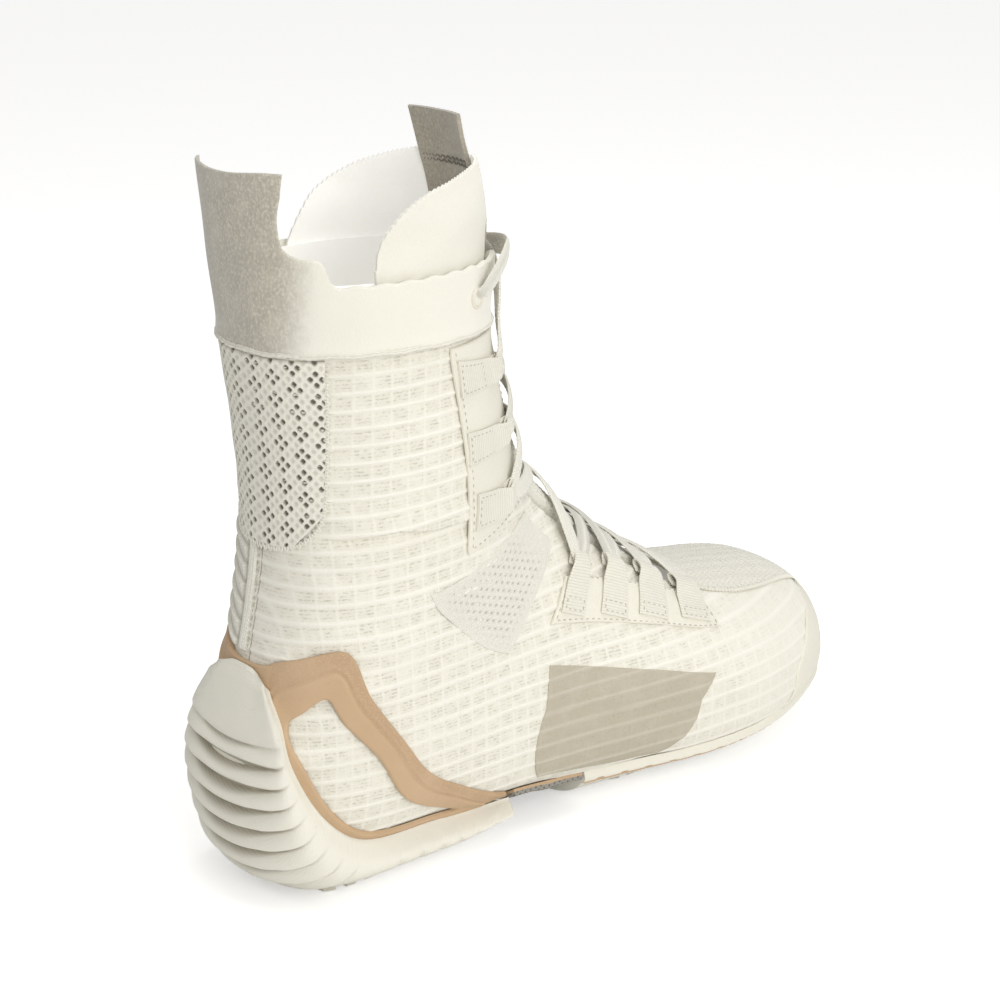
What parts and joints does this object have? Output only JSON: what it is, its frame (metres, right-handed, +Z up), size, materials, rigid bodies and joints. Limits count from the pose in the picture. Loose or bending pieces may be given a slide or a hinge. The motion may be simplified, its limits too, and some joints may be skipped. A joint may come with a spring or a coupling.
{
  "type": "boxing boot",
  "caption": "High-top right boxing boot with laced shaft, rubber heel cup, moulded heel cage, flexible forefoot sole and pull tabs.",
  "frame": {"origin": "on the floor under the middle of the heel, on the underside of the heel tread", "axes": "+X runs forward to the toe, +Y to the medial (inner) side, +Z up"},
  "size_m": [0.3014, 0.1025, 0.2677],
  "materials": {
    "rubber_cream": "matte moulded rubber",
    "rubber_taupe": "matte moulded rubber",
    "shank_weave": "satin woven-look plate",
    "moulded_tan": "finely textured moulding",
    "ripstop": "ribbed ripstop weave",
    "knit": "stretch knit",
    "microfibre": "smooth synthetic leather",
    "suede_grey": "brushed nap",
    "spacer_mesh": "open spacer mesh",
    "webbing": "ribbed webbing",
    "lace": "flat woven lace",
    "film": "thin matte film",
    "label_tan": "plain woven patch",
    "foam": "closed-cell foam",
    "board": "stiffened board",
    "lining": "brushed lining",
    "hard_trim": "smooth plastic"
  },
  "bodies": {
    "foot": {"heel_cup": "rubber_cream", "heel_tread": "rubber_taupe", "midfoot_shank": "shank_weave", "forefoot_outsole": "rubber_cream", "forefoot_tread": "rubber_taupe", "sole_flex_web": "rubber_taupe", "midsole_wedge": "foam", "strobel_board": "board", "sockliner": "foam", "heel_counter": "board", "vamp_lateral": "ripstop", "vamp_medial": "ripstop", "vamp_knit": "knit", "vamp_lining": "lining", "quarter_lateral": "ripstop", "quarter_medial": "ripstop", "foot_lining": "lining", "heel_cage": "moulded_tan", "side_film_lateral": "film", "side_film_medial": "film", "instep_insert_lateral": "knit", "instep_insert_medial": "knit", "lower_eyestay_lateral": "microfibre", "lower_eyestay_medial": "microfibre", "lower_loops_lateral": "webbing", "lower_loops_medial": "webbing", "lower_lace": "lace", "ankle_lace": "lace", "ankle_panel_lateral": "ripstop", "ankle_panel_medial": "ripstop", "achilles_strip": "microfibre", "ankle_lining": "lining", "tongue": "knit"},
    "toe": {"toe_outsole": "rubber_cream", "toe_puff": "board", "toe_box": "ripstop", "toe_rand": "microfibre"},
    "shaft": {"upper_lace": "lace", "collar_lace": "lace", "aglets": "hard_trim", "back_mesh_panel": "spacer_mesh", "shaft_lateral": "ripstop", "shaft_medial": "ripstop", "collar_foam": "foam", "shaft_lining": "lining", "upper_eyestay_lateral": "microfibre", "upper_eyestay_medial": "microfibre", "upper_loops_lateral": "webbing", "upper_loops_medial": "webbing", "collar_band": "suede_grey", "collar_piping": "webbing", "collar_eyelets": "hard_trim"},
    "tongue_flap": {"tongue_top": "suede_grey", "tongue_label": "label_tan"},
    "tongue_tab": {"tongue_pull_tab": "suede_grey"},
    "heel_tab": {"heel_pull_tab": "suede_grey"},
    "wing_lateral": {"collar_wing_lateral": "knit"},
    "wing_medial": {"collar_wing_medial": "knit"}
  },
  "joints": [
    {"name": "toe_flex", "type": "hinge", "parent": "foot", "child": "toe", "pos_m": [0.165, 0, 0.006], "axis": [0, -1, 0], "range_deg": [0, 30], "deforming": ["vamp_lateral", "vamp_medial", "vamp_knit", "vamp_lining", "sole_flex_web", "strobel_board", "sockliner"]},
    {"name": "ankle_flex", "type": "hinge", "parent": "foot", "child": "shaft", "pos_m": [0.012, 0, 0.085], "axis": [0, 1, 0], "range_deg": [-20, 15], "deforming": ["ankle_panel_lateral", "ankle_panel_medial", "ankle_lining", "achilles_strip", "tongue", "ankle_lace", "instep_insert_lateral", "instep_insert_medial"]},
    {"name": "tongue_flex", "type": "hinge", "parent": "shaft", "child": "tongue_flap", "pos_m": [0.058, 0, 0.217], "axis": [0, 1, 0], "range_deg": [-8, 30]},
    {"name": "tongue_tab_bend", "type": "hinge", "parent": "tongue_flap", "child": "tongue_tab", "pos_m": [0.0525, 0, 0.2525], "axis": [0, 1, 0], "range_deg": [-30, 60]},
    {"name": "heel_tab_bend", "type": "hinge", "parent": "shaft", "child": "heel_tab", "pos_m": [-0.0425, 0, 0.2362], "axis": [0, 1, 0], "range_deg": [-60, 15]},
    {"name": "wing_lateral_flare", "type": "hinge", "parent": "shaft", "child": "wing_lateral", "pos_m": [0.015, -0.0365, 0.2225], "axis": [1, 0, 0], "range_deg": [0, 25]},
    {"name": "wing_medial_flare", "type": "hinge", "parent": "shaft", "child": "wing_medial", "pos_m": [0.015, 0.0365, 0.2225], "axis": [-1, 0, 0], "range_deg": [0, 25]}
  ]
}
